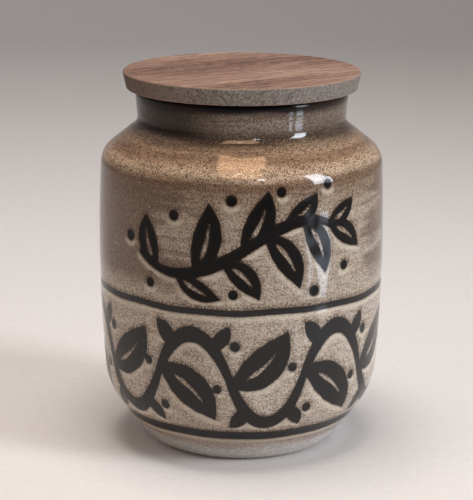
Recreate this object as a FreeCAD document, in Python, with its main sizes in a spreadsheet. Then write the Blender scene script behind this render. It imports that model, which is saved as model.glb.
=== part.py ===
import FreeCAD, Part
import math
import os

import Sketcher
from FreeCAD import Vector

# Stoneware biscuit jar with a turned wooden lid.
# Millimetres, +Z up, origin at the centre of the foot where it meets the table.

SIZES = {
    # outside of the pot, as virtual corners that roundings soften
    "pot_height": 188.4,  # table to rim, on which the lid rests
    "body_radius": 75.0,  # widest radius of the barrel side
    "belly_height": 31.4,  # corner between the lower slope and the side
    "belly_inset": 2.2,  # how far that corner lies inside the widest radius
    "shoulder_inset": 1.0,  # the same for the corner between side and shoulder
    "shoulder_rise": 15.2,  # from that corner up to the bottom of the neck
    "neck_length": 18.2,  # bottom of the neck to the rim
    "mouth_radius": 49.5,  # bore of the neck
    "neck_wall": 4.8,  # clay thickness at the bottom of the neck
    "rim_flare": 1.5,  # how much wider the neck is at its rim
    "foot_radius": 49.6,  # radius where the lower slope would meet the table
    # roundings of the outside
    "foot_rounding": 11.0,
    "belly_rounding": 38.0,
    "shoulder_rounding": 13.0,
    "neck_crease": 1.6,
    "rim_outer_rounding": 2.6,
    "rim_inner_rounding": 1.6,
    # thickness of the clay, and the inside
    "wall": 6.0,  # side, slope and shoulder
    "floor_height": 8.0,  # inside floor above the table
    "floor_rounding": 8.0,  # where the floor meets the slope
    "foot_ring_width": 9.0,  # foot ring, from the foot radius inwards
    "foot_recess": 2.2,  # depth of the hollow inside the foot ring
    # wooden lid disc
    "lid_overhang": 4.4,  # how far its underside passes the rim
    "lid_flare": 1.9,  # how much wider its top is than its underside
    "lid_thickness": 8.8,
    "lid_top_arris": 0.9,
    "lid_under_arris": 0.7,
    # wooden plug glued flat to the underside of the disc
    "plug_clearance": 1.8,  # gap between plug and neck bore
    "plug_depth": 11.0,  # how far the plug reaches below the lid disc
    "plug_chamfer": 1.2,  # lead-in round its bottom
    # rubber ring, and the groove that holds it
    "seal_thickness": 4.0,
    "seal_swell": 1.5,  # how far its round nose stands out
    "seal_drop": 3.4,  # from the lid disc down to the ring
    "seal_grip": 2.6,  # depth of the groove
    "seal_fit": 0.05,  # gap between the ring and the walls of its groove
    "seal_clearance": 0.3,  # gap between the ring and the neck bore
}

doc = FreeCAD.newDocument("biscuit_jar")
sheet = doc.addObject("Spreadsheet::Sheet", "sizes")
for row, (alias, value) in enumerate(SIZES.items(), start=1):
    sheet.set("A%d" % row, alias)
    sheet.set("B%d" % row, str(value))
    sheet.setAlias("B%d" % row, alias)
doc.recompute()

# Sizes that follow from the driving ones, as expressions on the sheet
BELLY_RADIUS = "(sizes.body_radius - sizes.belly_inset)"
SHOULDER_RADIUS = "(sizes.body_radius - sizes.shoulder_inset)"
NECK_HEIGHT = "(sizes.pot_height - sizes.neck_length)"
SHOULDER_HEIGHT = "(%s - sizes.shoulder_rise)" % NECK_HEIGHT
NECK_RADIUS = "(sizes.mouth_radius + sizes.neck_wall)"
RIM_RADIUS = "(%s + sizes.rim_flare)" % NECK_RADIUS
SLOPE_ANGLE = "atan((%s - sizes.foot_radius) / sizes.belly_height)" % BELLY_RADIUS
SHOULDER_ANGLE = "atan(sizes.shoulder_rise / (%s - %s))" % (SHOULDER_RADIUS, NECK_RADIUS)
SIDE_SWELL = "((sizes.belly_inset + sizes.shoulder_inset) / 2)"
SIDE_CURVE = "((%s - sizes.belly_height)^2 / (8 * %s) + %s / 2)" % (
    SHOULDER_HEIGHT, SIDE_SWELL, SIDE_SWELL,
)
PLUG_RADIUS = "(sizes.mouth_radius - sizes.plug_clearance)"
GROOVE_RADIUS = "(%s - sizes.seal_grip)" % PLUG_RADIUS
LID_UNDER_RADIUS = "(%s + sizes.lid_overhang)" % RIM_RADIUS


def number(expression):
    """Value of an expression on the sheet, as a plain number."""
    value = sheet.evalExpression(expression)
    return float(getattr(value, "Value", value))


def new_body(name):
    body = doc.addObject("PartDesign::Body", name)
    body.Label = name
    return body


def new_sketch(body, name, plane_role):
    sketch = body.newObject("Sketcher::SketchObject", name)
    plane = next(plane for plane in body.Origin.OriginFeatures if plane.Role == plane_role)
    sketch.AttachmentSupport = (plane, [""])
    sketch.MapMode = "FlatFace"
    return sketch


def bind(sketch, constraint, expression):
    """Adds a constraint and ties its value to the sheet."""
    index = sketch.addConstraint(constraint)
    sketch.setExpression("Constraints[%d]" % index, expression)


def place(sketch, geometry, radius, height):
    """Puts the start of a sketch element at a radius and height, each an expression."""
    for kind, axis, expression in (("DistanceX", -2, radius), ("DistanceY", -1, height)):
        if expression == "0":
            sketch.addConstraint(Sketcher.Constraint("PointOnObject", geometry, 1, axis))
        else:
            bind(
                sketch,
                Sketcher.Constraint(kind, -1, 1, geometry, 1, number(expression)),
                expression,
            )


def half_profile(body, name, corners, curved_side=None, curve_radius=None):
    """Closed half outline on the XZ plane, counter-clockwise from corners of (radius, height, rounding).

    Each is an expression on the sheet, and a corner without a rounding stays sharp. The side
    after corner number curved_side swells outwards with the radius curve_radius."""
    sketch = new_sketch(body, name, "XZ_Plane")
    points = [Vector(number(corner[0]), number(corner[1]), 0) for corner in corners]
    count = len(points)

    # where the sides end once their corners are rounded
    enters, leaves, turns = [], [], []
    for i, (radius, height, rounding) in enumerate(corners):
        back = (points[i - 1] - points[i]).normalize()
        onward = (points[(i + 1) % count] - points[i]).normalize()
        half_angle = back.getAngle(onward) / 2
        run = number(rounding) / math.tan(half_angle) if rounding else 0
        enters.append(points[i] + back * run)
        leaves.append(points[i] + onward * run)
        turns.append(onward.cross(back).z)

    for i in range(count):
        start, end = leaves[i], enters[(i + 1) % count]
        if i == curved_side:
            curve = number(curve_radius)
            swell = curve - math.sqrt(curve**2 - (end - start).Length ** 2 / 4)
            sketch.addGeometry(Part.Arc(start, (start + end) / 2 + Vector(swell, 0, 0), end), False)
        else:
            sketch.addGeometry(Part.LineSegment(start, end), False)

    for i, (radius, height, rounding) in enumerate(corners):
        side_before = (i - 1) % count
        if not rounding:
            sketch.addConstraint(Sketcher.Constraint("Coincident", side_before, 2, i, 1))
            place(sketch, i, radius, height)
            continue
        inwards = (enters[i] + leaves[i]) / 2 - points[i]
        reach = (enters[i] - points[i]).Length
        to_centre = math.hypot(reach, number(rounding))
        middle = points[i] + inwards * ((to_centre - number(rounding)) / inwards.Length)
        first, last = (enters[i], leaves[i]) if turns[i] > 0 else (leaves[i], enters[i])
        arc = sketch.addGeometry(Part.Arc(first, middle, last), False)
        enter_end, leave_end = (1, 2) if turns[i] > 0 else (2, 1)
        sketch.addConstraint(Sketcher.Constraint("Tangent", side_before, 2, arc, enter_end))
        sketch.addConstraint(Sketcher.Constraint("Tangent", arc, leave_end, i, 1))
        bind(sketch, Sketcher.Constraint("Radius", arc, number(rounding)), rounding)
        corner = sketch.addGeometry(Part.Point(points[i]), True)
        sketch.addConstraint(Sketcher.Constraint("PointOnObject", corner, 1, side_before))
        sketch.addConstraint(Sketcher.Constraint("PointOnObject", corner, 1, i))
        place(sketch, corner, radius, height)

    if curve_radius:
        bind(sketch, Sketcher.Constraint("Radius", curved_side, number(curve_radius)), curve_radius)
    return sketch


def turned(body, name, sketch, kind="Revolution"):
    """Turns a half profile about the Z axis, as material or as a Groove that has to remove some."""
    before = body.Shape.Volume if kind == "Groove" else 0
    feature = body.newObject("PartDesign::" + kind, name)
    feature.Profile = sketch
    feature.ReferenceAxis = (sketch, ["V_Axis"])
    feature.Angle = 360
    sketch.Visibility = False
    doc.recompute()
    if kind == "Groove" and body.Shape.Volume >= before:
        raise RuntimeError(name + " removes nothing")
    return feature


# The pot: one piece of thrown clay, turned outside and inside about its axis
def make_jar_body():
    body = new_body("jar_body")
    outside = half_profile(
        body,
        "outside_profile",
        [
            ("0", "0", None),
            ("sizes.foot_radius", "0", "sizes.foot_rounding"),
            (BELLY_RADIUS, "sizes.belly_height", "sizes.belly_rounding"),
            (SHOULDER_RADIUS, SHOULDER_HEIGHT, "sizes.shoulder_rounding"),
            (NECK_RADIUS, NECK_HEIGHT, "sizes.neck_crease"),
            (RIM_RADIUS, "sizes.pot_height", "sizes.rim_outer_rounding"),
            ("0", "sizes.pot_height", None),
        ],
        curved_side=2,
        curve_radius=SIDE_CURVE,
    )
    turned(body, "turned_outside", outside)

    # the inside runs parallel to the outside, one wall thickness in from each slope
    floor_radius = "sizes.foot_radius + tan(%s) * sizes.floor_height - sizes.wall / cos(%s)" % (
        SLOPE_ANGLE, SLOPE_ANGLE,
    )
    neck_inside_height = "%s + tan(%s) * sizes.neck_wall - sizes.wall / cos(%s)" % (
        NECK_HEIGHT, SHOULDER_ANGLE, SHOULDER_ANGLE,
    )
    inside = half_profile(
        body,
        "inside_profile",
        [
            ("0", "sizes.floor_height", None),
            (floor_radius, "sizes.floor_height", "sizes.floor_rounding"),
            (
                BELLY_RADIUS + " - sizes.wall",
                "sizes.belly_height + sizes.wall * tan(%s / 2)" % SLOPE_ANGLE,
                "sizes.belly_rounding - sizes.wall",
            ),
            (
                SHOULDER_RADIUS + " - sizes.wall",
                "%s - sizes.wall * tan((90 deg - %s) / 2)" % (SHOULDER_HEIGHT, SHOULDER_ANGLE),
                "sizes.shoulder_rounding - sizes.wall",
            ),
            ("sizes.mouth_radius", neck_inside_height, None),
            ("sizes.mouth_radius", "sizes.pot_height", None),
            ("0", "sizes.pot_height", None),
        ],
        curved_side=2,
        curve_radius=SIDE_CURVE + " - sizes.wall",
    )
    turned(body, "hollow", inside, "Groove")

    recess_radius = "sizes.foot_radius - sizes.foot_ring_width"
    foot = half_profile(
        body,
        "foot_hollow_profile",
        [
            ("0", "0", None),
            (recess_radius, "0", None),
            (recess_radius, "sizes.foot_recess", None),
            ("0", "sizes.foot_recess", None),
        ],
    )
    turned(body, "foot_hollow", foot, "Groove")

    # the inner edge of the rim is found by its radius and height
    base = body.Tip
    rim_edge = next(
        "Edge%d" % i
        for i, edge in enumerate(base.Shape.Edges, start=1)
        if isinstance(edge.Curve, Part.Circle)
        and math.isclose(edge.Curve.Radius, number("sizes.mouth_radius"), abs_tol=0.01)
        and math.isclose(edge.Curve.Center.z, number("sizes.pot_height"), abs_tol=0.01)
    )
    rim_round = body.newObject("PartDesign::Fillet", "rim_inner_round")
    rim_round.Base = (base, [rim_edge])
    rim_round.setExpression("Radius", "sizes.rim_inner_rounding")
    doc.recompute()
    return body


# The lid: a turned disc whose side leans in towards the rim, flat below
def make_lid_disc():
    body = new_body("lid_disc")
    outline = half_profile(
        body,
        "disc_profile",
        [
            ("0", "0", None),
            (LID_UNDER_RADIUS, "0", "sizes.lid_under_arris"),
            (LID_UNDER_RADIUS + " + sizes.lid_flare", "sizes.lid_thickness", "sizes.lid_top_arris"),
            ("0", "sizes.lid_thickness", None),
        ],
    )
    turned(body, "turned_disc", outline)
    body.setExpression("Placement.Base.z", "sizes.pot_height")
    return body


# The plug: a smaller disc that centres the lid in the neck, grooved for the rubber ring
def make_lid_plug():
    body = new_body("lid_plug")
    blank = half_profile(
        body,
        "plug_profile",
        [
            ("0", "0", None),
            (PLUG_RADIUS + " - sizes.plug_chamfer", "0", None),
            (PLUG_RADIUS, "sizes.plug_chamfer", None),
            (PLUG_RADIUS, "sizes.plug_depth", None),
            ("0", "sizes.plug_depth", None),
        ],
    )
    turned(body, "turned_plug", blank)
    groove_top = "sizes.plug_depth - sizes.seal_drop + sizes.seal_fit"
    groove_bottom = "sizes.plug_depth - sizes.seal_drop - sizes.seal_thickness - sizes.seal_fit"
    section = half_profile(
        body,
        "seal_groove_profile",
        [
            (GROOVE_RADIUS, groove_bottom, None),
            (PLUG_RADIUS + " + sizes.seal_grip", groove_bottom, None),
            (PLUG_RADIUS + " + sizes.seal_grip", groove_top, None),
            (GROOVE_RADIUS, groove_top, None),
        ],
    )
    turned(body, "seal_groove", section, "Groove")
    body.setExpression("Placement.Base.z", "sizes.pot_height - sizes.plug_depth")
    return body


# The rubber ring: flat where it grips the groove, rounded where it meets the neck
def make_seal_ring():
    body = new_body("seal_ring")
    inner = GROOVE_RADIUS + " + sizes.seal_fit"
    nose_start = "sizes.mouth_radius - sizes.seal_clearance - sizes.seal_swell"
    section = half_profile(
        body,
        "ring_profile",
        [
            (inner, "0", None),
            (nose_start, "0", None),
            (nose_start, "sizes.seal_thickness", None),
            (inner, "sizes.seal_thickness", None),
        ],
        curved_side=1,
        curve_radius="sizes.seal_thickness^2 / (8 * sizes.seal_swell) + sizes.seal_swell / 2",
    )
    turned(body, "moulded_ring", section)
    body.setExpression("Placement.Base.z", "sizes.pot_height - sizes.seal_drop - sizes.seal_thickness")
    return body


pieces = [make_jar_body(), make_lid_disc(), make_lid_plug(), make_seal_ring()]
doc.recompute()

for thing in doc.Objects:
    if "Invalid" in thing.State or "Error" in thing.State:
        raise RuntimeError("%s failed: %s" % (thing.Label, thing.State))
for piece in pieces:
    if piece.Shape.isNull() or not piece.Shape.isValid() or len(piece.Shape.Solids) != 1:
        raise RuntimeError(piece.Label + " is not one valid solid")

os.makedirs("parts", exist_ok=True)
for piece in pieces:
    piece.Shape.exportStep("parts/%s.step" % piece.Label)
    print("%s: %.0f mm3" % (piece.Label, piece.Shape.Volume))
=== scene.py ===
import math

import bpy
import numpy as np
from mathutils import Matrix, Vector


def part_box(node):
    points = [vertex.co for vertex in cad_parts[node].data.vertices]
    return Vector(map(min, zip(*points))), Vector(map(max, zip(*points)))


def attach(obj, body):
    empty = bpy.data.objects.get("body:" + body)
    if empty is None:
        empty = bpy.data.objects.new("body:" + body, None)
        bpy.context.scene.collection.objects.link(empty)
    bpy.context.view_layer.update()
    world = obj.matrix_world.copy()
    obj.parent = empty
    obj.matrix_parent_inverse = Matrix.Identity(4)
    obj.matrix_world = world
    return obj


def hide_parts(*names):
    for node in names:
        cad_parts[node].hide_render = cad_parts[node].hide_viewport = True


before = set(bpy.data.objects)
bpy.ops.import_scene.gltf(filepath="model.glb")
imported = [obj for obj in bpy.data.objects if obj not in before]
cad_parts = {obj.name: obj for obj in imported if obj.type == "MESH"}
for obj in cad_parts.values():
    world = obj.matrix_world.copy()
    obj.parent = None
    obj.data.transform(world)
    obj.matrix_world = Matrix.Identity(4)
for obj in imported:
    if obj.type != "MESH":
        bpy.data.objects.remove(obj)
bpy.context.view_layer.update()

# Stoneware biscuit jar with a turned wooden lid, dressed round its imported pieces.
# Metres, +Z up, the painted front towards -Y. MM turns the maker's millimetres into metres.
MM = 0.001

# The camera stands about a metre in front of the jar and looks down on it a little, through a long
# lens, so that the lid shows as a narrow ellipse and the foot as a wide curve.
CAMERA_PLACE = (-0.0024, -0.9431, 0.3437)
CAMERA_TILT = math.radians(75.53)
CAMERA_ROLL = math.radians(0.271)
CAMERA_LENS = 131.65
CAMERA_SENSOR = 36.0

optics = bpy.data.cameras.new("jar_camera")
optics.lens = CAMERA_LENS
optics.sensor_width = CAMERA_SENSOR
camera = bpy.data.objects.new("jar_camera", optics)
bpy.context.scene.collection.objects.link(camera)
camera.location = CAMERA_PLACE
aim = Matrix.Rotation(CAMERA_TILT, 3, "X") @ Matrix.Rotation(CAMERA_ROLL, 3, "Z")
camera.rotation_euler = aim.to_euler()
bpy.context.scene.camera = camera
bpy.context.scene.view_settings.view_transform = "Standard"


# The table and backdrop are one sweep of pale matt paper, curved up behind the jar so that no edge
# of it shows.
SWEEP_WIDTH = 6.0
SWEEP_MIDDLE = -0.6
SWEEP_RISE = 2.6
SWEEP_CURVE = 0.9
SWEEP_FACETS = 24


def tone(red, green, blue):
    """A colour as a colour chart prints it, 0 to 255, made linear for the shader."""
    linear = []
    for part in (red / 255, green / 255, blue / 255):
        linear.append(part / 12.92 if part <= 0.04045 else ((part + 0.055) / 1.055) ** 2.4)
    return (*linear, 1.0)


class Wire:
    """One socket of a material. Sums and products on it add Math nodes, and node() adds any other."""

    def __init__(self, tree, socket=None):
        self.tree = tree
        self.socket = socket

    def node(self, kind, inputs=(), output=0, stops=(), **settings):
        """Adds a node: its settings and ramp stops first, then the values or links of its sockets."""
        made = self.tree.nodes.new("ShaderNode" + kind)
        for name, value in settings.items():
            setattr(made, name, value)
        for place, colour in stops[1:-1]:
            made.color_ramp.elements.new(place)
        for element, (place, colour) in zip(made.color_ramp.elements if stops else (), stops):
            element.position = place
            element.color = colour
        for name, value in dict(inputs).items():
            if isinstance(value, Wire):
                self.tree.links.new(value.socket, made.inputs[name])
            else:
                made.inputs[name].default_value = value
        return Wire(self.tree, made.outputs[output]) if made.outputs else None

    def maths(self, operation, *values):
        """A Math node of this operation on values or wires."""
        return self.node("Math", enumerate(values), operation=operation)

    def __add__(self, other):
        return self.maths("ADD", self, other)

    __radd__ = __add__

    def __sub__(self, other):
        return self.maths("SUBTRACT", self, other)

    def __rsub__(self, other):
        return self.maths("SUBTRACT", other, self)

    def __mul__(self, other):
        return self.maths("MULTIPLY", self, other)

    __rmul__ = __mul__

    def step(self, low, high):
        """0 at low and 1 at high with a smooth rise between. With low above high it falls instead."""
        limits = {"Value": self, "From Min": low, "From Max": high}
        return self.node("MapRange", limits, interpolation_type="SMOOTHSTEP")

    def under(self, colour, amount):
        """This colour under another, which covers it by an amount from 0 to 1."""
        return self.node("Mix", {0: amount, 6: self, 7: colour}, output=2, data_type="RGBA")

    def ramp(self, *stops):
        """A colour for this value, blended between stops of (value, colour)."""
        return self.node("ValToRGB", {"Fac": self}, stops=stops)

    def bump(self):
        """This height in millimetres as a raised skin."""
        return self.node("Bump", {"Height": self, "Distance": MM, "Strength": 1.0})

    def along(self, axis):
        """The part of this vector that lies along one axis."""
        return self.node("SeparateXYZ", {"Vector": self}, output=axis)

    def noise(self, scale, detail=2.0, roughness=0.5):
        """Cloudy noise from 0 to 1 on this vector, with scale clouds in a metre."""
        inputs = {"Vector": self, "Scale": scale, "Detail": detail, "Roughness": roughness}
        return self.node("TexNoise", inputs)

    def stretched(self, x, y, z):
        """This vector with each axis scaled by itself."""
        return self.node("VectorMath", {0: self, 1: (x, y, z)}, operation="MULTIPLY")


def new_finish(name):
    """An empty material, and the wire that its first nodes are made from."""
    finish = bpy.data.materials.new(name)
    finish.use_nodes = True
    finish.node_tree.nodes.clear()
    return finish, Wire(finish.node_tree)


def paper_finish():
    """Pale matt paper with a faint tooth."""
    finish, start = new_finish("pale_paper")
    place = start.node("TexCoord", output="Object")
    tooth = place.noise(scale=220, detail=3)
    paper = tooth.ramp((0.3, tone(227, 221, 218)), (0.7, tone(232, 226, 223)))
    surface = start.node("BsdfPrincipled", {"Base Color": paper, "Roughness": 0.75})
    start.node("OutputMaterial", {"Surface": surface})
    return finish


bpy.ops.object.select_all(action="DESELECT")
bpy.ops.mesh.primitive_plane_add(size=SWEEP_WIDTH, location=(0, SWEEP_MIDDLE, 0))
sweep = bpy.context.object
sweep.name = "paper_sweep"
bpy.ops.object.transform_apply(location=True, rotation=True, scale=True)
back_line = max(vertex.co.y for vertex in sweep.data.vertices)
bpy.ops.object.mode_set(mode="EDIT")
bpy.ops.mesh.select_mode(type="EDGE")
bpy.ops.mesh.select_all(action="DESELECT")
bpy.ops.object.mode_set(mode="OBJECT")
for edge in sweep.data.edges:
    edge.select = all(sweep.data.vertices[i].co.y > back_line - MM for i in edge.vertices)
bpy.ops.object.mode_set(mode="EDIT")
bpy.ops.mesh.extrude_region_move(TRANSFORM_OT_translate={"value": (0, 0, SWEEP_RISE)})
bpy.ops.object.mode_set(mode="OBJECT")
for edge in sweep.data.edges:
    ends = [sweep.data.vertices[i].co for i in edge.vertices]
    edge.select = all(end.y > back_line - MM and end.z < MM for end in ends)
bpy.ops.object.mode_set(mode="EDIT")
bpy.ops.mesh.bevel(offset=SWEEP_CURVE, segments=SWEEP_FACETS, affect="EDGES")
bpy.ops.object.mode_set(mode="OBJECT")
bpy.ops.object.shade_smooth()
sweep.data.materials.append(paper_finish())


# Soft studio light: a cool window box with a narrow beam far off at the right, a warm box at the left,
# a neutral box overhead and a faint even surround. Two low strips, a small pane and a warm shade with
# its bulb are only there to be mirrored in the glaze. The camera itself sees no lamp.
STRIP_COLOUR = (0.72, 0.83, 1.0)
SHADE_COLOUR = (1.0, 0.59, 0.32)
SOFT_BOXES = {
    "window_box": {
        "place": (1.90, -0.84, 0.80), "size": (0.56, 1.44), "watts": 6.3, "colour": (0.86, 0.93, 1.0),
        "spread": 62},
    "left_box": {
        "place": (-1.10, -0.60, 0.60), "size": (1.10, 1.10), "watts": 2.8, "colour": (1.0, 0.80, 0.62),
        "mirrored": False},
    "overhead_box": {
        "place": (-0.05, -0.05, 1.35), "size": (0.80, 0.60), "watts": 12.0, "colour": (1.0, 0.94, 0.88),
        "mirrored": False},
    "low_strip": {
        "place": (0.302, -0.165, 0.045), "size": (0.050, 0.085), "watts": 0.085, "colour": STRIP_COLOUR,
        "lights": False},
    "low_strip_beside": {
        "place": (0.272, -0.222, 0.050), "size": (0.022, 0.070), "watts": 0.026, "colour": STRIP_COLOUR,
        "lights": False},
    "shade_top": {
        "place": (-0.02, -0.12, 1.21), "size": (0.40, 0.50), "watts": 4.6, "colour": SHADE_COLOUR,
        "lights": False},
    "shade_front": {
        "place": (-0.01, -0.62, 1.05), "size": (0.52, 0.62), "watts": 6.6, "colour": SHADE_COLOUR,
        "lights": False},
    "small_pane": {
        "place": (0.297, -0.96, 0.83), "size": (0.12, 0.08), "watts": 0.80, "colour": (0.92, 0.96, 1.0),
        "lights": False},
    "bulb": {
        "place": (-0.03, -0.49, 1.06), "size": (0.035, 0.035), "watts": 0.30,
        "colour": (1.0, 0.86, 0.70), "lights": False},
}
SURROUND = (0.93, 0.95, 1.0, 1.0)
SURROUND_STRENGTH = 0.22
JAR_MIDDLE = (0, 0, 0.10)


def soft_box(name, place, size, watts, colour, lights=True, mirrored=True, spread=180):
    """A rectangular area lamp facing the middle of the jar, its beam spread over so many degrees."""
    lamp = bpy.data.lights.new(name, "AREA")
    lamp.shape = "RECTANGLE"
    lamp.size, lamp.size_y = size
    lamp.energy = watts
    lamp.color = colour
    lamp.spread = math.radians(spread)
    holder = bpy.data.objects.new(name, lamp)
    bpy.context.scene.collection.objects.link(holder)
    holder.location = place
    holder.rotation_euler = (Vector(JAR_MIDDLE) - Vector(place)).to_track_quat("-Z", "Y").to_euler()
    holder.visible_camera = False
    holder.visible_diffuse = lights
    holder.visible_glossy = mirrored


for box_name, settings in SOFT_BOXES.items():
    soft_box(box_name, **settings)
world = bpy.data.worlds.new("studio")
world.use_nodes = True
bpy.context.scene.world = world
surround = world.node_tree.nodes["Background"]
surround.inputs["Color"].default_value = SURROUND
surround.inputs["Strength"].default_value = SURROUND_STRENGTH


# The pot is one piece of stoneware, thrown on the wheel: foot ring, full belly, upright side, sloped
# shoulder and a short neck with a soft rim. It is glazed inside and out, painted with a brush in
# near-black iron, and bare only where the foot ring meets the table.
POT_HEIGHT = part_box("jar_body")[1].z
BELLY_RADIUS, BELLY_HEIGHT = 72.8 * MM, 31.4 * MM
SHOULDER_RADIUS, SHOULDER_HEIGHT = 74.0 * MM, 155.0 * MM
SIDE_SWELL = 1.6 * MM
NECK_RADIUS, NECK_HEIGHT = 54.3 * MM, 170.6 * MM
NECK_FILLET = 6.0 * MM
RIM_RADIUS = 55.8 * MM
MOUTH_RADIUS = 49.5 * MM
FOOT_RADIUS = 49.6 * MM
FOOT_HOLLOW_RADIUS, FOOT_HOLLOW_DEPTH = 40.6 * MM, 2.2 * MM
FOOT_HOLLOW_SLANT = 1.0 * MM
FOOT_HOLLOW_ROUNDING, FOOT_RING_ROUNDING = 1.5 * MM, 0.6 * MM
FOOT_ROUNDING, BELLY_ROUNDING, SHOULDER_ROUNDING = 11.0 * MM, 38.0 * MM, 13.0 * MM
RIM_ROUNDING, MOUTH_ROUNDING = 2.6 * MM, 1.6 * MM
WALL = 6.0 * MM
FLOOR_RADIUS, FLOOR_HEIGHT = 48.05 * MM, 8.0 * MM
NECK_INSIDE_HEIGHT = 166.3 * MM
BELLY_INSIDE_RISE = 2.0 * MM
SHOULDER_INSIDE_DROP = 2.95 * MM
NECK_INSIDE_ROUNDING, SHOULDER_INSIDE_ROUNDING = 1.5 * MM, 7.0 * MM
BELLY_INSIDE_ROUNDING, FLOOR_ROUNDING = 32.0 * MM, 8.0 * MM
WHEEL_STEPS = 416
WEDGES = 16
PAINTED_SPACING = 1.4 * MM
NECK_SPACING = 1.5 * MM
INSIDE_SPACING = 7.0 * MM
ROUND_STEP = math.radians(14)
SHARP_EDGE = math.radians(50)
SAME_POINT = 0.02 * MM
WELD = 0.01 * MM


def turned_outline(corners, swell=0.0):
    """Points along an outline of corners, each (radius, height, rounding, spacing).

    Spacing is the distance between points on the run after a corner. A tall run swells outwards."""
    def unit(run):
        return run / np.linalg.norm(run)

    places = [np.array(corner[:2]) for corner in corners]
    enters, leaves, arcs = [places[0]], [places[0]], [[places[0]]]
    for before, here, after, corner in zip(places, places[1:], places[2:], corners[1:]):
        back, onward = unit(before - here), unit(after - here)
        half_angle = math.acos(np.clip(back @ onward, -1, 1)) / 2
        rounding = corner[2]
        run = rounding / math.tan(half_angle)
        centre = here + unit(back + onward) * (rounding / math.sin(half_angle))
        first, last = here + back * run - centre, here + onward * run - centre
        turn = math.pi - 2 * half_angle
        count = max(2, math.ceil(turn / ROUND_STEP), math.ceil(rounding * turn / corner[3]))
        arc = []
        for i in range(count + 1):
            share = i / count
            part = math.sin((1 - share) * turn) * first + math.sin(share * turn) * last
            arc.append(centre + part / math.sin(turn))
        enters.append(arc[0])
        leaves.append(arc[-1])
        arcs.append(arc)
    enters.append(places[-1])

    points = []
    for i, arc in enumerate(arcs):
        points.extend(arc)
        start, end = leaves[i], enters[i + 1]
        length = np.linalg.norm(end - start)
        count = max(1, round(length / corners[i][3]))
        tall = abs(end[1] - start[1]) > POT_HEIGHT / 2
        for k in range(1, count):
            share = k / count
            point = start + (end - start) * share
            if tall:
                point = point + np.array([4 * swell * share * (1 - share), 0])
            points.append(point)
    points.append(places[-1])
    return [points[0]] + [b for a, b in zip(points, points[1:]) if np.linalg.norm(b - a) > SAME_POINT]


def turned(name, outline, steps):
    """Draws the outline as a chain of edges from one point and spins it round the Z axis.

    One wedge is spun, and then doubled until it closes, which is far quicker than one full turn."""
    bpy.ops.object.select_all(action="DESELECT")
    bpy.ops.mesh.primitive_plane_add(size=MM)
    piece = bpy.context.object
    piece.name = name
    bpy.ops.object.mode_set(mode="EDIT")
    bpy.ops.mesh.select_mode(type="VERT")
    bpy.ops.mesh.merge(type="CENTER")
    bpy.ops.transform.translate(value=(outline[0][0], 0, outline[0][1]))
    for start, end in zip(outline, outline[1:]):
        move = {"value": (end[0] - start[0], 0, end[1] - start[1])}
        bpy.ops.mesh.extrude_region_move(TRANSFORM_OT_translate=move)
    bpy.ops.mesh.select_all(action="SELECT")
    wedge = math.tau / WEDGES
    bpy.ops.mesh.spin(steps=steps // WEDGES, angle=wedge, center=(0, 0, 0), axis=(0, 0, 1))
    for doubling in range(round(math.log2(WEDGES))):
        bpy.ops.mesh.select_all(action="SELECT")
        bpy.ops.mesh.duplicate()
        bpy.ops.transform.rotate(value=wedge * 2**doubling, orient_axis="Z", center_override=(0, 0, 0))
    bpy.ops.mesh.select_all(action="SELECT")
    bpy.ops.mesh.remove_doubles(threshold=WELD)
    bpy.ops.mesh.normals_make_consistent(inside=False)
    bpy.ops.object.mode_set(mode="OBJECT")
    bpy.ops.object.shade_smooth_by_angle(angle=SHARP_EDGE)
    return piece


outer_corners = [
    (0.0, FOOT_HOLLOW_DEPTH, 0.0, INSIDE_SPACING),
    (FOOT_HOLLOW_RADIUS - FOOT_HOLLOW_SLANT, FOOT_HOLLOW_DEPTH, FOOT_HOLLOW_ROUNDING, INSIDE_SPACING),
    (FOOT_HOLLOW_RADIUS, 0.0, FOOT_RING_ROUNDING, NECK_SPACING),
    (FOOT_RADIUS, 0.0, FOOT_ROUNDING, PAINTED_SPACING),
    (BELLY_RADIUS, BELLY_HEIGHT, BELLY_ROUNDING, PAINTED_SPACING),
    (SHOULDER_RADIUS, SHOULDER_HEIGHT, SHOULDER_ROUNDING, NECK_SPACING),
    (NECK_RADIUS, NECK_HEIGHT, NECK_FILLET, NECK_SPACING),
    (RIM_RADIUS, POT_HEIGHT, RIM_ROUNDING, NECK_SPACING),
]
shoulder_inside = SHOULDER_HEIGHT - SHOULDER_INSIDE_DROP
belly_inside = BELLY_HEIGHT + BELLY_INSIDE_RISE
inner_corners = [
    (MOUTH_RADIUS, POT_HEIGHT, MOUTH_ROUNDING, INSIDE_SPACING),
    (MOUTH_RADIUS, NECK_INSIDE_HEIGHT, NECK_INSIDE_ROUNDING, NECK_SPACING * 2),
    (SHOULDER_RADIUS - WALL, shoulder_inside, SHOULDER_INSIDE_ROUNDING, INSIDE_SPACING),
    (BELLY_RADIUS - WALL, belly_inside, BELLY_INSIDE_ROUNDING, NECK_SPACING * 4),
    (FLOOR_RADIUS, FLOOR_HEIGHT, FLOOR_ROUNDING, INSIDE_SPACING),
    (0.0, FLOOR_HEIGHT, 0.0, INSIDE_SPACING),
]
pot_outline = turned_outline(outer_corners + inner_corners, swell=SIDE_SWELL)
pot = turned("pot", pot_outline, WHEEL_STEPS)


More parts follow.
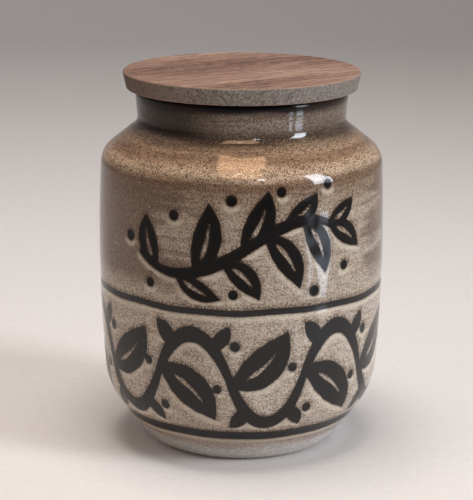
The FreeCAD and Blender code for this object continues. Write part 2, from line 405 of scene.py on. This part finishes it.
# The brushwork on the pot is a band of vine between two ring stripes, and above it on the front a
# leafy sprig. Each stroke is a run of brush prints, and every point of the clay keeps its distance
# in millimetres from the nearest painted edge, below 0 inside the paint.
STRIPES = [(87.3, 1.7, 0.35), (16.6, 3.3, 0.25)]  # height up the wall, half width, wobble
BAND_REPEATS = 6
BAND_MIDDLE = 52.0
BAND_START = -6.0
WIDEST = 75.0
GIRTH = math.tau * WIDEST
FAR = 9.0  # millimetres past which the distance no longer matters
SKIN = 1.5  # millimetres under the outline that still belong to the outer skin
TABLE_GAP = 0.2  # millimetres above the table where the outer skin begins
HOLLOW_EDGE = 0.5  # millimetres past the hollow of the foot where the outside begins
LEAF_FULLNESS = (0.62, 0.94, 1.0, 0.8, 0.42)  # of its width, from root to tip
LEAF_ROOT, LEAF_TIP = 0.6, 0.3
VEIN_PRINTS = slice(12, 42)  # the prints of a leaf that its vein runs along
VEIN_WIDTHS = (0.55, 1.20, 0.35)

wall = np.array([point for point in pot_outline if point[0] > 0]) / MM
rim_index = int(np.argmax(wall[:, 1]))
outside = wall[: rim_index + 1]
outside = outside[outside[:, 0] > FOOT_HOLLOW_RADIUS / MM + HOLLOW_EDGE]
steps_up = np.hypot(*np.diff(outside, axis=0).T)
climb = np.concatenate([[0], np.cumsum(steps_up)])
half_way = (BELLY_HEIGHT + SHOULDER_HEIGHT) / 2 / MM
climb += half_way - np.interp(half_way, outside[:, 1], climb)

clay = np.zeros(len(pot.data.vertices) * 3, np.float32)
pot.data.vertices.foreach_get("co", clay)
clay = clay.reshape(-1, 3).astype(float) / MM
radius = np.hypot(clay[:, 0], clay[:, 1])
outer_radius = np.interp(clay[:, 2], outside[:, 1], outside[:, 0])
is_outside = (radius > outer_radius - SKIN) & (clay[:, 2] > TABLE_GAP)
across = np.arctan2(clay[:, 0], -clay[:, 1]) / math.tau * GIRTH
up = np.interp(clay[:, 2], outside[:, 1], climb)


def brush(ends, handles, widths, prints=60):
    """A stroke as rows of (across, up, half width) along a Bezier curve from one end to the other."""
    share = np.linspace(0, 1, prints)
    start, end = (np.array(point, float) for point in ends)
    first, second = (np.array(point, float) for point in handles)
    back = 1 - share
    line = (np.outer(back**3, start) + np.outer(3 * back**2 * share, first)
            + np.outer(3 * back * share**2, second) + np.outer(share**3, end))
    width = np.interp(share, np.linspace(0, 1, len(widths)), widths) / 2
    return np.column_stack([line, width])


def leaf(root, heading, length, width, bend=0.18):
    """A pressed brush leaf, pointed at both ends, and the narrow vein left bare along its middle."""
    turn = math.radians(heading)
    along = np.array([math.cos(turn), math.sin(turn)])
    aside = np.array([-along[1], along[0]]) * bend * length
    root = np.array(root, float)
    tip = root + along * length
    handles = (root + along * length * 0.33 + aside, root + along * length * 0.7 + aside * 0.8)
    body = brush((root, tip), handles, (LEAF_ROOT, *(part * width for part in LEAF_FULLNESS), LEAF_TIP))
    vein = body[VEIN_PRINTS].copy()
    vein[:, 2] = np.interp(np.linspace(0, 1, len(vein)), (0, 0.25, 1), VEIN_WIDTHS)
    return body, vein


def band_height(side, height):
    """The height up the wall of a place in the band, mirrored about the band's middle for side -1."""
    return BAND_MIDDLE + side * height


def distance(prints, here_across, here_up):
    """Distance from the painted edge of a stroke, and how far below the stroke each point lies."""
    best = np.full(len(here_across), FAR)
    below = np.zeros(len(here_across))
    for place_across, place_up, half_width in prints:
        off_across = here_across - place_across
        off_up = here_up - place_up
        reach = np.hypot(off_across, off_up)
        nearer = reach - half_width < best
        best = np.where(nearer, reach - half_width, best)
        below = np.where(nearer, -off_up / np.maximum(reach, 0.1), below)
    return best, below


class Painting:
    """Collects strokes into two values for every point of the clay: ink and below."""

    def __init__(self):
        self.ink = np.full(len(clay), FAR)
        self.below = np.zeros(len(clay))

    def add(self, body, vein=None, at=0.0):
        """Adds the prints of a stroke, less its bare vein, shifted round the pot by at millimetres."""
        middle = (body[:, 0].min() + body[:, 0].max()) / 2 + at
        reach = (body[:, 0].max() - body[:, 0].min()) / 2 + FAR
        offset = (across - middle + GIRTH / 2) % GIRTH - GIRTH / 2
        low, high = body[:, 1].min() - FAR, body[:, 1].max() + FAR
        near = np.flatnonzero(is_outside & (np.abs(offset) < reach) & (up > low) & (up < high))
        here_across = offset[near] + middle - at
        ink, below = distance(body, here_across, up[near])
        if vein is not None:
            bare, _ = distance(vein, here_across, up[near])
            ink = np.maximum(ink, -bare)
        closer = ink < self.ink[near]
        self.ink[near] = np.where(closer, ink, self.ink[near])
        self.below[near] = np.where(closer, below, self.below[near])

    def dot(self, dot_across, dot_up, size, at=0.0):
        """Adds a single round print."""
        self.add(np.array([[dot_across, dot_up, size]]), at=at)

    def ring(self, height, half_width, wobble):
        """Adds a stripe right round the pot, drawn on the wheel with a little waver."""
        turn = across / GIRTH * math.tau
        waver = wobble * np.sin(turn * 5 + height) + wobble * 0.6 * np.sin(turn * 13 + 2 * height)
        ink = np.where(is_outside, np.abs(up - height - waver) - half_width, FAR)
        closer = ink < self.ink
        self.ink = np.where(closer, ink, self.ink)
        self.below = np.where(closer, np.sign(height - up), self.below)


painting = Painting()
for stripe in STRIPES:
    painting.ring(*stripe)

# the vine: one wave of stem for each repeat, a great leaf in each hollow and small leaves and dots
STEM_WIDTHS = (4.6, 7.0, 8.8, 6.8, 4.6)
STEM_PULL = 32
GREAT_LEAF = {"length": 40, "width": 19.5}
SMALL_LEAVES = [  # across, up, heading, length, width
    (8.0, 15.5, 122, 15.5, 8.6),
    (30.0, 16.5, 52, 15.0, 8.0),
]
VINE_DOTS = [(3.0, -17.5, 2.7), (-2.6, -24.0, 2.1), (33.0, -5.5, 2.5)]  # across, up, radius
pitch = GIRTH / BAND_REPEATS
for repeat in range(BAND_REPEATS):
    sway = 1.6 * math.sin(repeat * 2.1)
    at = (repeat - (BAND_REPEATS - 1) / 2) * pitch + BAND_START
    for side in (1, -1):
        lean = sway * side
        start = at + (0 if side > 0 else pitch / 2)
        ends = ((0, BAND_MIDDLE), (pitch / 2, BAND_MIDDLE))
        top = band_height(side, STEM_PULL + lean)
        painting.add(brush(ends, ((pitch * 0.15, top), (pitch * 0.35, top)), STEM_WIDTHS), at=start)
        great, great_vein = leaf(
            (1.6, band_height(side, 3)), -side * (43 + lean), bend=0.17 * side, **GREAT_LEAF)
        painting.add(great, great_vein, at=start)
        for root_across, root_up, heading, length, width in SMALL_LEAVES:
            root = (root_across, band_height(side, root_up))
            small, _ = leaf(root, side * heading, length, width, bend=-0.14 * side)
            painting.add(small, at=start)
        for dot_across, dot_up, size in VINE_DOTS:
            painting.dot(dot_across, band_height(side, dot_up), size, at=start)

# the sprig on the front: an S of stem, leaves in pairs along it, one at its end, and berries
stem_left = brush(((-55, 114), (4, 121)), ((-37, 99), (-17, 107)), (3.0, 5.2, 6.6, 5.8))
stem_right = brush(((4, 121), (48, 129)), ((22, 133), (36, 137)), (5.8, 6.4, 5.2, 3.4))
painting.add(stem_left)
painting.add(stem_right)
SPRIG_LEAVES = [  # root, heading, length, width, bend
    ((-45, 108.0), 104, 27, 12.5, 0.14),
    ((-33, 106.0), -28, 26, 10.5, -0.12),
    ((-24, 107.5), 78, 36, 15.0, -0.13),
    ((-9, 112.5), -46, 26, 12.5, 0.15),
    ((0, 119.0), 66, 33, 14.5, -0.13),
    ((12, 126.0), -57, 33, 14.0, 0.15),
    ((22, 131.5), 40, 23, 11.5, -0.14),
    ((32, 133.0), -66, 31, 13.0, 0.14),
    ((46, 129.5), 34, 21, 10.0, -0.10),
    ((47, 129.0), -34, 25, 11.5, 0.12),
]
SPRIG_DOTS = [  # across, up, radius
    (-63, 121, 3.0), (-35, 135, 2.8), (-5, 144, 3.0), (20, 148, 2.7), (-4, 96.5, 2.6),
    (38, 96.5, 2.9), (57, 107, 2.6), (-49, 99, 2.6), (46, 150, 2.6),
]
for sprig_leaf in SPRIG_LEAVES:
    painting.add(*leaf(*sprig_leaf))
for sprig_dot in SPRIG_DOTS:
    painting.dot(*sprig_dot)

# what the glaze needs to know of each point: the brushwork, the inside, and the clay wiped bare
INSIDE_START = 4.0
BARE_HEIGHT = 1.4
UNDER_FOOT_HEIGHT, UNDER_FOOT_RADIUS = 3.0, 43.0
is_inside = (radius < outer_radius - SKIN) & (clay[:, 2] > INSIDE_START)
is_under_foot = (clay[:, 2] < UNDER_FOOT_HEIGHT) & (radius < UNDER_FOOT_RADIUS)
POINT_VALUES = {
    "ink": painting.ink,
    "below": painting.below,
    "inside": is_inside.astype(float),
    "bare": np.clip(BARE_HEIGHT - clay[:, 2], 0, 1) + is_under_foot,
}
for name, values in POINT_VALUES.items():
    layer = pot.data.attributes.new(name, "FLOAT", "POINT")
    layer.data.foreach_set("value", np.clip(values, -FAR, FAR).astype(np.float32))


UNEVEN = 0.55 * MM
UNEVEN_SCALE = 55.0 * MM
UNEVEN_HEIGHTS = (8, 28, 162, 176)  # millimetres up the pot: none, full, still full, none again
INK_DEPTH = 0.14 * MM
INK_EDGE = 2.4  # millimetres over which the paint's dent fades
LEAST_WEIGHT = 0.004


def dented(piece, group_name, weights, depth, cloud=None):
    """Moves the skin of a piece in by a depth, by the weight of each point, and by a cloud if given."""
    group = piece.vertex_groups.new(name=group_name)
    for index in np.flatnonzero(weights > LEAST_WEIGHT):
        group.add([int(index)], float(weights[index]), "REPLACE")
    bpy.ops.object.select_all(action="DESELECT")
    piece.select_set(True)
    bpy.context.view_layer.objects.active = piece
    dent = piece.modifiers.new(group_name, "DISPLACE")
    dent.vertex_group = group_name
    dent.strength = -depth
    dent.mid_level = 0.0
    if cloud:
        dent.texture = cloud
        dent.texture_coords = "LOCAL"
        dent.mid_level = 0.5
    bpy.ops.object.modifier_apply(modifier=dent.name)
    piece.vertex_groups.remove(piece.vertex_groups[group_name])


side_of_pot = np.interp(clay[:, 2], UNEVEN_HEIGHTS, (0, 1, 1, 0)) * is_outside
hand = bpy.data.textures.new("thrower_hand", "CLOUDS")
hand.noise_scale = UNEVEN_SCALE
dented(pot, "thrown_unevenly", side_of_pot, UNEVEN, hand)
in_paint = np.clip(0.5 - painting.ink / INK_EDGE, 0, 1) * is_outside
dented(pot, "painted", in_paint, INK_DEPTH)


# the colour of the glaze by height in millimetres: foot, lower wall, side, shoulder, neck and rim; some
# of it is painted shade
GLAZE_AND_SHADE_COLOURS = [
    # painted shade: the foot darkens towards the table
    (0, tone(158, 154, 152)), (5, tone(192, 187, 183)), (9.5, tone(188, 181, 174)),
    (13, tone(152, 134, 121)), (16, tone(134, 115, 100)), (23, tone(176, 161, 146)),
    (36, tone(184, 170, 155)), (80, tone(182, 167, 151)), (90, tone(176, 161, 143)),
    (112, tone(170, 154, 136)), (134, tone(166, 149, 130)), (143, tone(148, 126, 105)),
    (148.5, tone(126, 100, 78)), (152, tone(124, 96, 73)), (155, tone(198, 170, 143)),
    (159, tone(186, 152, 122)), (161.5, tone(148, 113, 86)), (164, tone(178, 144, 114)),
    # painted shade: a dark ring in the crease at the foot of the neck, darkest at 170
    (167, tone(148, 121, 96)), (168.4, tone(118, 95, 75)), (169.2, tone(72, 57, 45)),
    (170, tone(50, 39, 31)), (171.5, tone(80, 66, 54)), (173, tone(90, 76, 63)),
    (174.2, tone(100, 86, 72)), (175.8, tone(120, 105, 90)), (179.3, tone(132, 117, 102)),
    # near-black at the rim: the glaze's own dark rim, with a painted shadow of the lid under its
    # overhang
    (181.2, tone(106, 92, 78)), (182.8, tone(60, 50, 42)), (184, tone(14, 11, 10)),
    (185, tone(6, 5, 5)),
]
GLAZE_SPAN = 200
TURNING_BROWN = tone(92, 62, 42)
# the cloud brown also carries painted shade at the pot's sides
CLOUD_AND_SHADE_BROWN, POOLED_BROWN = tone(92, 68, 50), tone(70, 48, 34)
# both neck colours are painted shade: the near-black one for the left of the neck, the brown one for
# its right
NECK_RIGHT_SHADE, NECK_SHADE_BLACK = tone(58, 45, 36), tone(24, 15, 10)
IRON_SPECK, PALE_GRAIN = tone(72, 49, 35), tone(226, 210, 188)
BLEED_BROWN, PALE_POOL = tone(72, 48, 32), tone(208, 196, 177)
BAND_PAINT, BRISTLE_GREY = tone(30, 28, 27), tone(92, 87, 82)


def glaze_finish():
    """Speckled oatmeal glaze over brown, browner on the shoulder and neck, with iron brushwork and
    painted shade.
    """
    finish, start = new_finish("glazed_stoneware")
    place = start.node("TexCoord", output="Object")
    height = place.along("Z") * (1 / MM)
    rightwards = place.along("X") * (1 / MM)
    ink_edge, below, inside, bare = (
        start.node("Attribute", output="Fac", attribute_name=name) for name in POINT_VALUES)

    speck = place.noise(scale=1250, detail=2.0, roughness=0.6)
    clump = place.noise(scale=380, detail=2.0, roughness=0.6)
    grit = place.noise(scale=1900, detail=2.0, roughness=0.6)
    cloud = place.noise(scale=26, detail=3.0, roughness=0.55)
    bands = place.stretched(1, 1, 9).noise(scale=22, detail=3.0, roughness=0.55)
    fine_bands = place.stretched(1, 1, 12).noise(scale=40, detail=3.0, roughness=0.6)

    # the ground colour by height, with its boundaries pushed up and down by the turning marks
    level = height + (bands - 0.5) * 8.0 + (speck - 0.5) * 3.0
    ground = (level * (1 / GLAZE_SPAN)).ramp(*((z / GLAZE_SPAN, colour) for z, colour in GLAZE_AND_SHADE_COLOURS))

    # soft brown turning marks, and brushed brown clouds that pooled darker at their edges and, as
    # painted shade, gather at the pot's left and far right
    on_shoulder = height.step(136, 152)
    below_rim = height.step(184.6, 182)
    on_neck = height.step(169, 172)
    streaks = fine_bands.step(0.48, 0.66) * (0.26 + 0.22 * on_shoulder + 0.22 * on_neck) * below_rim
    ground = ground.under(TURNING_BROWN, streaks)
    on_field = height.step(92, 104) * height.step(153, 146)
    # painted shade, mixed into the real clouds: the wash thickens towards the left and past 48 mm at
    # the right
    wash_and_side_shade = cloud + (bands - 0.5) * 0.7 - rightwards * 0.0046 + rightwards.step(48, 72) * 0.60
    washed_and_shaded = wash_and_side_shade.step(0.60, 0.72) * on_field
    pooled = wash_and_side_shade.step(0.56, 0.63) * wash_and_side_shade.step(0.70, 0.63) * on_field
    ground = ground.under(CLOUD_AND_SHADE_BROWN, washed_and_shaded * 0.84)
    ground = ground.under(POOLED_BROWN, pooled * 0.40)
    # painted shade and painted dark reflection: the left of the neck, past a cloudy edge, is turned
    # near-black
    neck_left_shade = on_neck * (rightwards + (cloud - 0.5) * 40.0).step(-4.0, -38.0)
    # painted shade: the neck is browned darker towards its right
    ground = ground.under(NECK_RIGHT_SHADE, on_neck * rightwards.step(14, 44) * 0.5)

    # iron specks and pale grains come through everywhere, fewer of them round the foot
    high_up = height.step(138, 150)
    many = (0.70 - 0.30 * height.step(20, 13) + 0.16 * high_up) * below_rim
    specks = (speck * 0.82 + clump * 0.18).step(0.44, 0.60) * many
    ground = ground.under(IRON_SPECK, specks)
    ground = ground.under(PALE_GRAIN, grit.step(0.54, 0.70) * below_rim * 0.30)
    # the painted shade on the left of the neck goes on over the specks and grains
    ground = ground.under(NECK_SHADE_BLACK, neck_left_shade * 0.86)

    # round the paint: brown bleeds out above and beside a stroke, pale glaze pools below it
    ragged = ink_edge + (grit - 0.5) * 0.8 + (speck - 0.5) * 0.8
    bleed = ragged.step(3.0, 0.2) * (0.62 - 0.48 * below) * (speck * 0.7 + grit * 0.3).step(0.34, 0.62)
    ground = ground.under(BLEED_BROWN, bleed)
    pool = ragged.step(4.2, 1.4) * ragged.step(0.1, 1.3) * below.step(0.15, 0.9)
    ground = ground.under(PALE_POOL, pool * 0.50)

    # the paint itself: near-black, browner and thin at its upper edges, scratched by the bristles
    in_band = height.step(94, 86)
    bristles = place.stretched(1, 1, 14).noise(scale=130, detail=3.0, roughness=0.7)
    paint = (ragged * 0.25 + 1.0).ramp(
        (0.0, tone(12, 12, 12)), (0.66, tone(14, 13, 12)),
        (0.88, tone(24, 17, 13)), (1.0, tone(44, 29, 20)),
    )
    paint = paint.under(BAND_PAINT, in_band * 0.8)
    paint = paint.under(BRISTLE_GREY, bristles.step(0.64, 0.78) * in_band * 0.35)
    painted = ragged.step(0.28, -0.28)
    coloured = ground.under(paint, painted)

    # honey glaze inside, and bare buff clay under the foot
    liner = speck.ramp((0.35, tone(158, 118, 76)), (0.65, tone(110, 76, 47)))
    coloured = coloured.under(liner, inside)
    clay_body = grit.ramp((0.35, tone(164, 144, 124)), (0.65, tone(122, 103, 86)))
    bare_here = (bare + (speck - 0.5) * 0.6).step(0.35, 0.65)
    coloured = coloured.under(clay_body, bare_here)

    relief = (cloud * 0.30 + bands * (0.05 + 0.16 * on_neck) + speck * 0.004 + painted * grit * 0.012
              + painted * in_band * bristles * 0.03 + bare_here * grit * 0.15)
    skin = relief.bump()
    glaze = start.node("BsdfPrincipled", {
        "Base Color": coloured, "Roughness": 0.06 + bare_here * 0.6, "Normal": skin, "IOR": 1.45,
    })
    # iron leaves the paint and the rim duller than the glaze, so that they mirror less of the room
    dull = start.node("BsdfPrincipled", {
        "Base Color": coloured, "Roughness": 0.10 + 0.20 * in_band, "Normal": skin, "IOR": 1.24,
    })
    dull_here = painted * (1.0 - in_band * 0.6) + neck_left_shade * 0.8 + (1.0 - below_rim)
    surface = start.node("MixShader", {0: dull_here, 1: glaze, 2: dull})
    start.node("OutputMaterial", {"Surface": surface})
    return finish


pot.data.materials.append(glaze_finish())
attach(pot, "jar")
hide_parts("jar_body")


# The lid is one disc of straight-grained brown hardwood, turned flat on both faces, with a side that
# leans in towards the rim and is left from the sander. Small arrises break its edges.
lid_low, lid_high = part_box("lid_disc")
LID_TOP, LID_UNDER = lid_high.z, lid_low.z
LID_TOP_RADIUS = 62.1 * MM
LID_UNDER_RADIUS = 60.2 * MM
LID_UNDER_ARRIS, LID_TOP_ARRIS = 0.7 * MM, 0.9 * MM
LID_SPACING = 3.0 * MM
LID_STEPS = 256
GRAIN_TURN = math.radians(33)
LINES_ACROSS, LINES_THROUGH = 105.0, 95.0  # growth lines in a metre across the grain and down
SCRATCH_LEANS = (38, -44)  # degrees that the sander's scratches lean from the level
LID_WOOD = (tone(188, 155, 136), tone(146, 113, 97), tone(92, 60, 46), tone(54, 35, 28))
# painted light on the lid: a shaded brown for the left of its side, and a pale tan highlight on its
# arrises
SIDE_SHADE_BROWN, ARRIS_HIGHLIGHT_TAN = tone(66, 50, 40), tone(150, 126, 108)

lid_outline = turned_outline([
    (0.0, LID_UNDER, 0.0, LID_SPACING),
    (LID_UNDER_RADIUS, LID_UNDER, LID_UNDER_ARRIS, NECK_SPACING),
    (LID_TOP_RADIUS, LID_TOP, LID_TOP_ARRIS, LID_SPACING),
    (0.0, LID_TOP, 0.0, LID_SPACING),
])
lid = turned("lid_top", lid_outline, LID_STEPS)


def wood_finish(name, colours):
    """Straight-grained hardwood: growth lines along the grain, drawn-out fibres and open pores.

    Colours are the pale wood, the usual wood, the dark growth lines and the pores."""
    pale, usual, dark, pore = colours
    finish, start = new_finish(name)
    place = start.node("TexCoord", output="Object")
    grain = start.node("Mapping", {"Vector": place, "Rotation": (0, 0, -GRAIN_TURN)})
    waver = grain.stretched(0.12, 1, 1).noise(scale=40, detail=2.0)

    # growth lines: unevenly spaced, each a thin dark line beside a pale one
    line_place = grain.along("Y") * LINES_ACROSS + grain.along("Z") * LINES_THROUGH + waver * 1.5
    growth = start.maths("FRACT", line_place)
    late = growth.step(0.70, 0.96) * growth.step(1.0, 0.97)
    early = growth.step(0.0, 0.03) * growth.step(0.22, 0.08)
    strength = grain.stretched(0.05, 1, 1).noise(scale=80, detail=2.0).step(0.42, 0.60)
    figure = grain.stretched(0.06, 1, 1).noise(scale=175, detail=5.0, roughness=0.66)
    patches = grain.stretched(0.22, 1, 1).noise(scale=26, detail=2.0)
    wood = (figure * 0.62 + patches * 0.38).ramp(
        (0.34, dark), (0.46, usual), (0.53, usual), (0.66, pale))
    wood = wood.under(dark, late * strength * 0.65)
    wood = wood.under(pale, early * strength * 0.50)

    # fibres and pores: fine dashes along the grain, dots where they are cut across at the side
    fibres = grain.stretched(0.028, 1, 1).noise(scale=1500, detail=3.0, roughness=0.7)
    pores = grain.stretched(0.09, 1, 1).noise(scale=2300, detail=1.0)
    open_pores = pores.step(0.55, 0.66)
    stained = patches.step(0.48, 0.40)
    wood = wood.under(dark, stained * 0.28)
    wood = wood.under(pale, fibres.step(0.51, 0.66) * 0.60)
    wood = wood.under(pore, fibres.step(0.50, 0.36) * (0.60 + 0.30 * stained))
    wood = wood.under(pore, open_pores * (0.60 + 0.30 * stained))
    return finish, start, place, wood, growth, fibres, open_pores


def lid_finish():
    """The lid's wood, with the sanded side speckled by its end grain, scratched aslant, painted darker
    as shade at its left and greyer as a sheen at its right.
    """
    finish, start, place, wood, growth, fibres, open_pores = wood_finish("lid_wood", LID_WOOD)
    normal = start.node("NewGeometry", output="Normal")
    upright = start.maths("ABSOLUTE", normal.along("Z"))
    side = upright.step(0.75, 0.45)
    rightwards = place.along("X") * (1 / MM)
    scratches = 0.0
    for lean in SCRATCH_LEANS:
        aslant = start.node("Mapping", {"Vector": place, "Rotation": (0, math.radians(lean), 0)})
        lines = aslant.stretched(0.12, 1, 1).noise(scale=2100, detail=3.0, roughness=0.7)
        scratches = lines * 0.5 + scratches
    scratch_sheen_grey = scratches.ramp(
        (0.42, tone(76, 67, 60)), (0.5, tone(116, 108, 101)), (0.58, tone(156, 147, 138)))
    # painted shade and sheen: the side is dark brown at its left and turns to grey scratches at its
    # right
    wood = wood.under(SIDE_SHADE_BROWN, side * 0.7)
    wood = wood.under(scratch_sheen_grey, side * rightwards.step(-60.0, -22.0) * 0.8)
    # painted highlight: a pale tan line along the rounded arrises
    arris_highlight = upright.step(0.25, 0.55) * upright.step(0.995, 0.92)
    wood = wood.under(ARRIS_HIGHLIGHT_TAN, arris_highlight * 0.45)
    relief = fibres * 0.05 - open_pores * 0.10 + growth * 0.02 + side * scratches * 0.08
    skin = relief.bump()
    surface = start.node("BsdfPrincipled", {
        "Base Color": wood, "Roughness": 0.50 + fibres * 0.15 + side * 0.15, "Normal": skin,
    })
    start.node("OutputMaterial", {"Surface": surface})
    return finish


lid.data.materials.append(lid_finish())
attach(lid, "lid")
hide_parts("lid_disc")


# The plug is a smaller disc of the same wood, glued flat under the lid. It centres the lid in the
# neck, and a groove turned round it holds the rubber ring.
plug_low, plug_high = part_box("lid_plug")
seal_low, seal_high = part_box("seal_ring")
PLUG_RADIUS = plug_high.x
PLUG_CHAMFER = 1.2 * MM
GROOVE_DEPTH = 2.6 * MM
GROOVE_FIT = 0.05 * MM
PLUG_ARRIS = 0.35 * MM
PLUG_WOOD = (tone(186, 152, 122), tone(158, 124, 96), tone(120, 88, 66), tone(86, 62, 46))
TURNING_RATE = 5200.0  # radians of the turning marks' wave in a metre

plug_outline = turned_outline([
    (0.0, plug_low.z, 0.0, LID_SPACING),
    (PLUG_RADIUS - PLUG_CHAMFER, plug_low.z, PLUG_ARRIS, NECK_SPACING),
    (PLUG_RADIUS, plug_low.z + PLUG_CHAMFER, PLUG_ARRIS, NECK_SPACING),
    (PLUG_RADIUS, seal_low.z - GROOVE_FIT, PLUG_ARRIS, NECK_SPACING),
    (PLUG_RADIUS - GROOVE_DEPTH, seal_low.z - GROOVE_FIT, PLUG_ARRIS, NECK_SPACING),
    (PLUG_RADIUS - GROOVE_DEPTH, seal_high.z + GROOVE_FIT, PLUG_ARRIS, NECK_SPACING),
    (PLUG_RADIUS, seal_high.z + GROOVE_FIT, PLUG_ARRIS, NECK_SPACING),
    (PLUG_RADIUS, plug_high.z, PLUG_ARRIS, NECK_SPACING),
    (0.0, plug_high.z, 0.0, LID_SPACING),
])
plug = turned("plug", plug_outline, LID_STEPS)


def plug_finish():
    """Bare sawn wood, paler than the lid, with turning marks round its underside."""
    finish, start, place, wood, _, fibres, open_pores = wood_finish("plug_wood", PLUG_WOOD)
    flat = place.stretched(1, 1, 0)
    from_middle = start.node("VectorMath", {0: flat}, output="Value", operation="LENGTH")
    turning = start.maths("SINE", from_middle * TURNING_RATE)
    relief = fibres * 0.05 - open_pores * 0.08 + turning * 0.02
    skin = relief.bump()
    surface = start.node("BsdfPrincipled", {
        "Base Color": wood, "Roughness": 0.58 + fibres * 0.15, "Normal": skin,
    })
    start.node("OutputMaterial", {"Surface": surface})
    return finish


plug.data.materials.append(plug_finish())
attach(plug, "lid")
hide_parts("lid_plug")


# The seal is a moulded ring of dark rubber that grips the groove of the plug. Its nose is round, and
# a fine flash line from the two halves of the mould runs round it.
SEAL_INSIDE = PLUG_RADIUS - GROOVE_DEPTH + GROOVE_FIT
SEAL_OUTSIDE = seal_high.x
SEAL_NOSE, NOSE_ROUNDING = 1.5 * MM, 1.2 * MM
SEAL_EDGE = 0.3 * MM
SEAL_SPACING = 0.3 * MM
NOSE_FLAT = 0.64 * MM
FLASH_HEIGHT, FLASH_REACH = 0.16 * MM, 0.05 * MM

seal_middle = (seal_low.z + seal_high.z) / 2
nose_start = SEAL_OUTSIDE - SEAL_NOSE
seal_corners = [
    (SEAL_INSIDE, seal_middle, 0.0, NECK_SPACING),
    (SEAL_INSIDE, seal_low.z, SEAL_EDGE, NECK_SPACING),
    (nose_start, seal_low.z, SEAL_EDGE, NECK_SPACING),
    (SEAL_OUTSIDE - FLASH_REACH, seal_middle - NOSE_FLAT, NOSE_ROUNDING, SEAL_SPACING),
    (SEAL_OUTSIDE - FLASH_REACH, seal_middle - FLASH_HEIGHT, FLASH_REACH, SEAL_SPACING),
    (SEAL_OUTSIDE, seal_middle, FLASH_REACH, SEAL_SPACING),
    (SEAL_OUTSIDE - FLASH_REACH, seal_middle + FLASH_HEIGHT, FLASH_REACH, SEAL_SPACING),
    (SEAL_OUTSIDE - FLASH_REACH, seal_middle + NOSE_FLAT, NOSE_ROUNDING, SEAL_SPACING),
    (nose_start, seal_high.z, SEAL_EDGE, NECK_SPACING),
    (SEAL_INSIDE, seal_high.z, SEAL_EDGE, NECK_SPACING),
    (SEAL_INSIDE, seal_middle, 0.0, NECK_SPACING),
]
seal = turned("rubber_ring", turned_outline(seal_corners), LID_STEPS)


def rubber_finish():
    """Satin dark rubber with a faint bloom of dust."""
    finish, start = new_finish("seal_rubber")
    place = start.node("TexCoord", output="Object")
    bloom = place.noise(scale=160, detail=4.0, roughness=0.65)
    rubber = bloom.ramp((0.38, tone(38, 37, 36)), (0.66, tone(64, 61, 58)))
    grain = place.noise(scale=1800, detail=1.0)
    skin = (grain * 0.03).bump()
    surface = start.node("BsdfPrincipled", {
        "Base Color": rubber, "Roughness": 0.42 + bloom * 0.2, "Normal": skin,
    })
    start.node("OutputMaterial", {"Surface": surface})
    return finish


seal.data.materials.append(rubber_finish())
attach(seal, "lid")
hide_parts("seal_ring")
